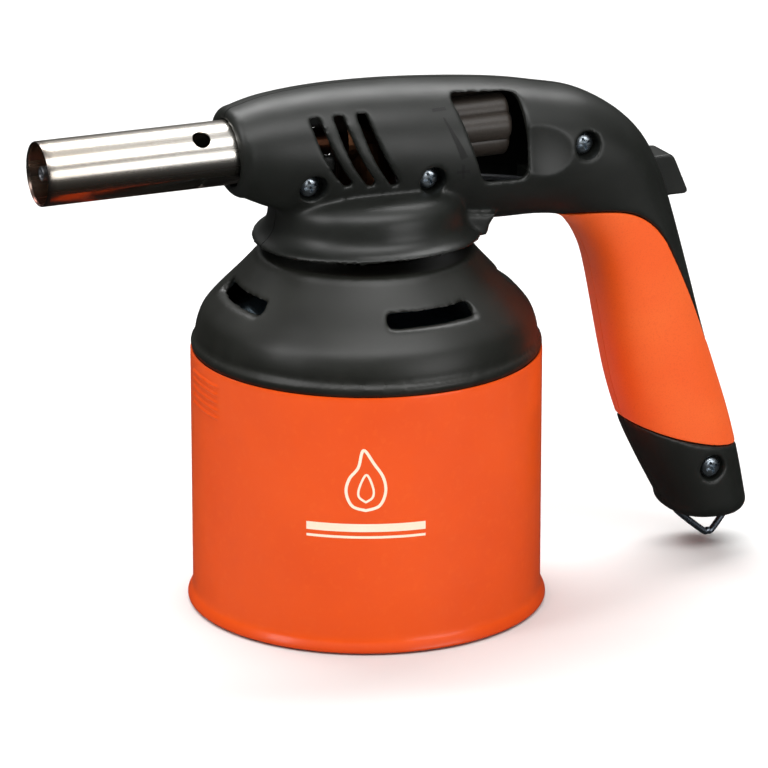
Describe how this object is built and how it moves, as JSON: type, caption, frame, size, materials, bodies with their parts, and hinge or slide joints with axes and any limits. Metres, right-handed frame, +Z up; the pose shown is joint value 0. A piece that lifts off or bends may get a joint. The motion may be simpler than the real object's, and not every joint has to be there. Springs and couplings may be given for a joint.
{
  "type": "propane torch",
  "caption": "Hand-held gas torch: a burner head with pistol grip, knob and piezo button, screwed onto a cartridge holder with a domed cover.",
  "frame": {"origin": "centre of the flat base of the cup, on the cup's axis", "axes": "+Z up along the cup's axis, the burner points to -X and the handle is at +X, the user's left side is -Y"},
  "size_m": [0.2069, 0.0978, 0.145],
  "materials": {
    "painted_orange": "smooth satin orange stove enamel on pressed steel",
    "black_plastic": "fine-textured satin black moulding",
    "soft_grip": "soft matte orange overmoulding",
    "knob_plastic": "satin dark brown-grey moulding",
    "stainless": "bright stainless, faintly drawn along the tube",
    "zinc_screw": "bright zinc plate",
    "brass": "machined brass",
    "steel": "plain bright steel",
    "seal_rubber": "black nitrile rubber",
    "ceramic": "off-white unglazed ceramic",
    "can_steel": "grey-blue lacquered tinplate",
    "lead_sleeve": "dark red silicone sleeve"
  },
  "bodies": {
    "holder": {"cup": "painted_orange", "cartridge": "can_steel"},
    "cover": {"dome": "black_plastic", "neck_bush": "brass"},
    "seal": {"cartridge_seal": "seal_rubber"},
    "head": {"left_shell": "black_plastic", "right_shell": "black_plastic", "left_grip": "soft_grip", "right_grip": "soft_grip", "valve_body": "brass", "piercing_needle": "steel", "gland_ring": "seal_rubber", "gland_nut": "brass", "jet": "brass", "mixing_tube": "brass", "burner_tube": "stainless", "flame_holder": "brass", "pilot_tube": "steel", "ceramic_insulator": "ceramic", "electrode": "steel", "ignition_lead": "lead_sleeve", "piezo_body": "black_plastic", "screw_front": "zinc_screw", "screw_middle": "zinc_screw", "screw_rear": "zinc_screw", "screw_handle": "zinc_screw", "piezo_spring": "steel"},
    "knob": {"gas_knob": "knob_plastic", "valve_spindle": "steel", "knob_clip": "steel"},
    "igniter": {"igniter_button": "black_plastic", "piezo_plunger": "steel"},
    "loop": {"hang_loop": "steel"}
  },
  "joints": [
    {"name": "dome_lift", "type": "slide", "parent": "holder", "child": "cover", "axis": [0, 0, 1], "range_m": [0, 0.03]},
    {"name": "head_lift", "type": "slide", "parent": "cover", "child": "seal", "axis": [0, 0, 1], "range_m": [0, 0.00605]},
    {"name": "head_turn", "type": "hinge", "parent": "seal", "child": "head", "pos_m": [0, 0, 0.0962], "axis": [0, 0, 1], "range_deg": [0, 1440]},
    {"name": "knob_turn", "type": "hinge", "parent": "head", "child": "knob", "pos_m": [0.03, 0, 0.1295], "axis": [1, 0, 0], "range_deg": [0, 540]},
    {"name": "igniter_press", "type": "slide", "parent": "head", "child": "igniter", "axis": [-1, 0, 0], "range_m": [0, 0.004], "stiffness_N_per_m": 2000, "springref_m": -0.001, "deforming": ["piezo_spring"]},
    {"name": "loop_swing", "type": "hinge", "parent": "head", "child": "loop", "pos_m": [0.1033, 0, 0.0132], "axis": [1, 0, 0], "range_deg": [-35, 35]}
  ],
  "couplings": [
    {"joint": "head_lift", "follows": "head_turn", "m_per_rad": 0.00023873}
  ]
}
